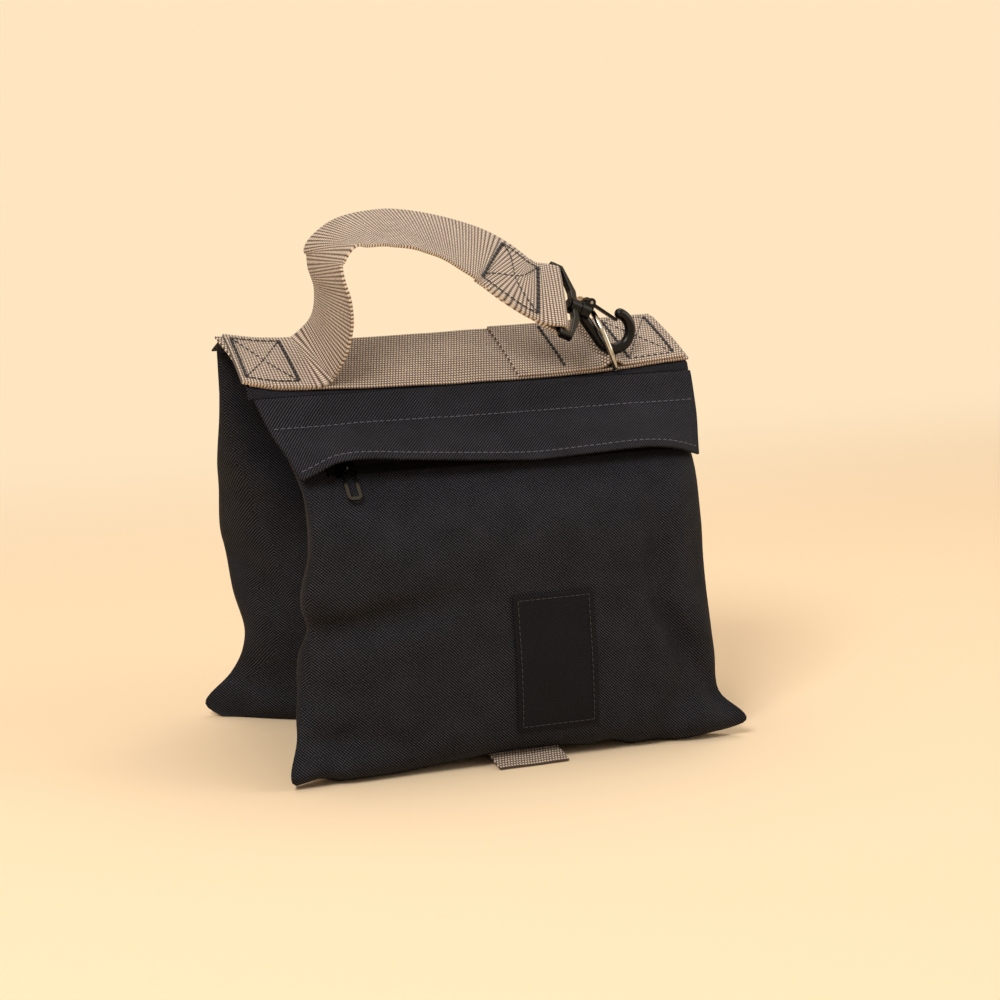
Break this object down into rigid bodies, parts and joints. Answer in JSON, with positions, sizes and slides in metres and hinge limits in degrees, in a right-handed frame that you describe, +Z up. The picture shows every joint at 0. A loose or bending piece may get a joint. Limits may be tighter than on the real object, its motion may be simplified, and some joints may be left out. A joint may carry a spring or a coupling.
{
  "type": "saddle sandbag",
  "caption": "Saddle sandbag: twin zipped fabric pouches on a webbing ridge, with a carry strap that clips to a D-ring by a swivel snap hook.",
  "frame": {"origin": "on the floor, under the middle of the bag's outline", "axes": "+Z up, X along the ridge, -Y towards the pouch with the label"},
  "size_m": [0.254, 0.1808, 0.2874],
  "materials": {
    "pouch_fabric": "coated woven nylon",
    "webbing": "ribbed woven webbing",
    "label_cloth": "satin",
    "liner_film": "sealed film filled with sand",
    "zip_tape": "woven tape with a moulded coil",
    "pull_plastic": "gloss",
    "black_metal": "semi-gloss black",
    "bright_metal": "polished nickel",
    "pin_steel": "satin"
  },
  "bodies": {
    "saddle": {"saddle_panel": "pouch_fabric", "ridge_webbing": "webbing", "handle_strap": "webbing", "ring_strap": "webbing"},
    "front_pouch": {"front_pouch_shell": "pouch_fabric", "front_liner": "liner_film", "front_yoke": "pouch_fabric", "front_zip_upper": "zip_tape", "front_zip_lower": "zip_tape", "front_zip_stops": "pull_plastic", "front_label": "label_cloth", "front_bottom_tab": "webbing"},
    "front_flap": {"front_flap": "pouch_fabric"},
    "front_slider": {"front_slider": "black_metal"},
    "front_pull": {"front_pull": "pull_plastic"},
    "back_pouch": {"back_pouch_shell": "pouch_fabric", "back_liner": "liner_film", "back_yoke": "pouch_fabric", "back_zip_upper": "zip_tape", "back_zip_lower": "zip_tape", "back_zip_stops": "pull_plastic"},
    "back_flap": {"back_flap": "pouch_fabric"},
    "back_slider": {"back_slider": "black_metal"},
    "back_pull": {"back_pull": "pull_plastic"},
    "clip_eye": {"snap_eye": "black_metal"},
    "clip_hook": {"snap_hook": "black_metal", "swivel_stud": "black_metal", "gate_pin": "pin_steel"},
    "clip_gate": {"snap_gate": "black_metal"},
    "ring": {"d_ring": "bright_metal"}
  },
  "joints": [
    {"name": "front_pouch_swing", "type": "hinge", "parent": "saddle", "child": "front_pouch", "pos_m": [0, -0.02499, 0.19464], "axis": [-1, 0, 0], "range_deg": [-6, 60]},
    {"name": "front_flap_lift", "type": "hinge", "parent": "front_pouch", "child": "front_flap", "pos_m": [0, -0.04138, 0.17955], "axis": [-1, 0, 0], "range_deg": [0, 65]},
    {"name": "front_slider_run", "type": "slide", "parent": "front_pouch", "child": "front_slider", "axis": [1, 0, 0], "range_m": [0, 0.177]},
    {"name": "front_pull_swing", "type": "hinge", "parent": "front_slider", "child": "front_pull", "pos_m": [-0.0885, -0.05955, 0.16237], "axis": [0, -0.7497, 0.6618], "range_deg": [-20, 20]},
    {"name": "back_pouch_swing", "type": "hinge", "parent": "saddle", "child": "back_pouch", "pos_m": [0, 0.04194, 0.21372], "axis": [1, 0, 0], "range_deg": [-6, 60]},
    {"name": "back_flap_lift", "type": "hinge", "parent": "back_pouch", "child": "back_flap", "pos_m": [0, 0.05159, 0.19419], "axis": [1, 0, 0], "range_deg": [0, 65]},
    {"name": "back_slider_run", "type": "slide", "parent": "back_pouch", "child": "back_slider", "axis": [-1, 0, 0], "range_m": [0, 0.177]},
    {"name": "back_pull_swing", "type": "hinge", "parent": "back_slider", "child": "back_pull", "pos_m": [0.0885, 0.06177, 0.17138], "axis": [0, 0.9431, 0.3325], "range_deg": [-20, 20]},
    {"name": "eye_turn", "type": "hinge", "parent": "saddle", "child": "clip_eye", "pos_m": [0.0488, -0.02, 0.2384], "axis": [-0.26, -0.7771, -0.5731], "range_deg": [-1, 1]},
    {"name": "hook_swivel", "type": "hinge", "parent": "clip_eye", "child": "clip_hook", "pos_m": [0.0488, -0.02, 0.2384], "axis": [0.9107, 0, -0.4131], "range_deg": [-3, 3]},
    {"name": "gate_open", "type": "hinge", "parent": "clip_hook", "child": "clip_gate", "pos_m": [0.06777, -0.02, 0.23616], "axis": [0, 1, 0], "range_deg": [0, 8], "stiffness_Nm_per_rad": 0.02, "springref_deg": -8.59},
    {"name": "ring_swing", "type": "hinge", "parent": "saddle", "child": "ring", "pos_m": [0.08105, -0.00149, 0.21056], "axis": [0, -0.8988, -0.4384], "range_deg": [-1, 1]}
  ]
}
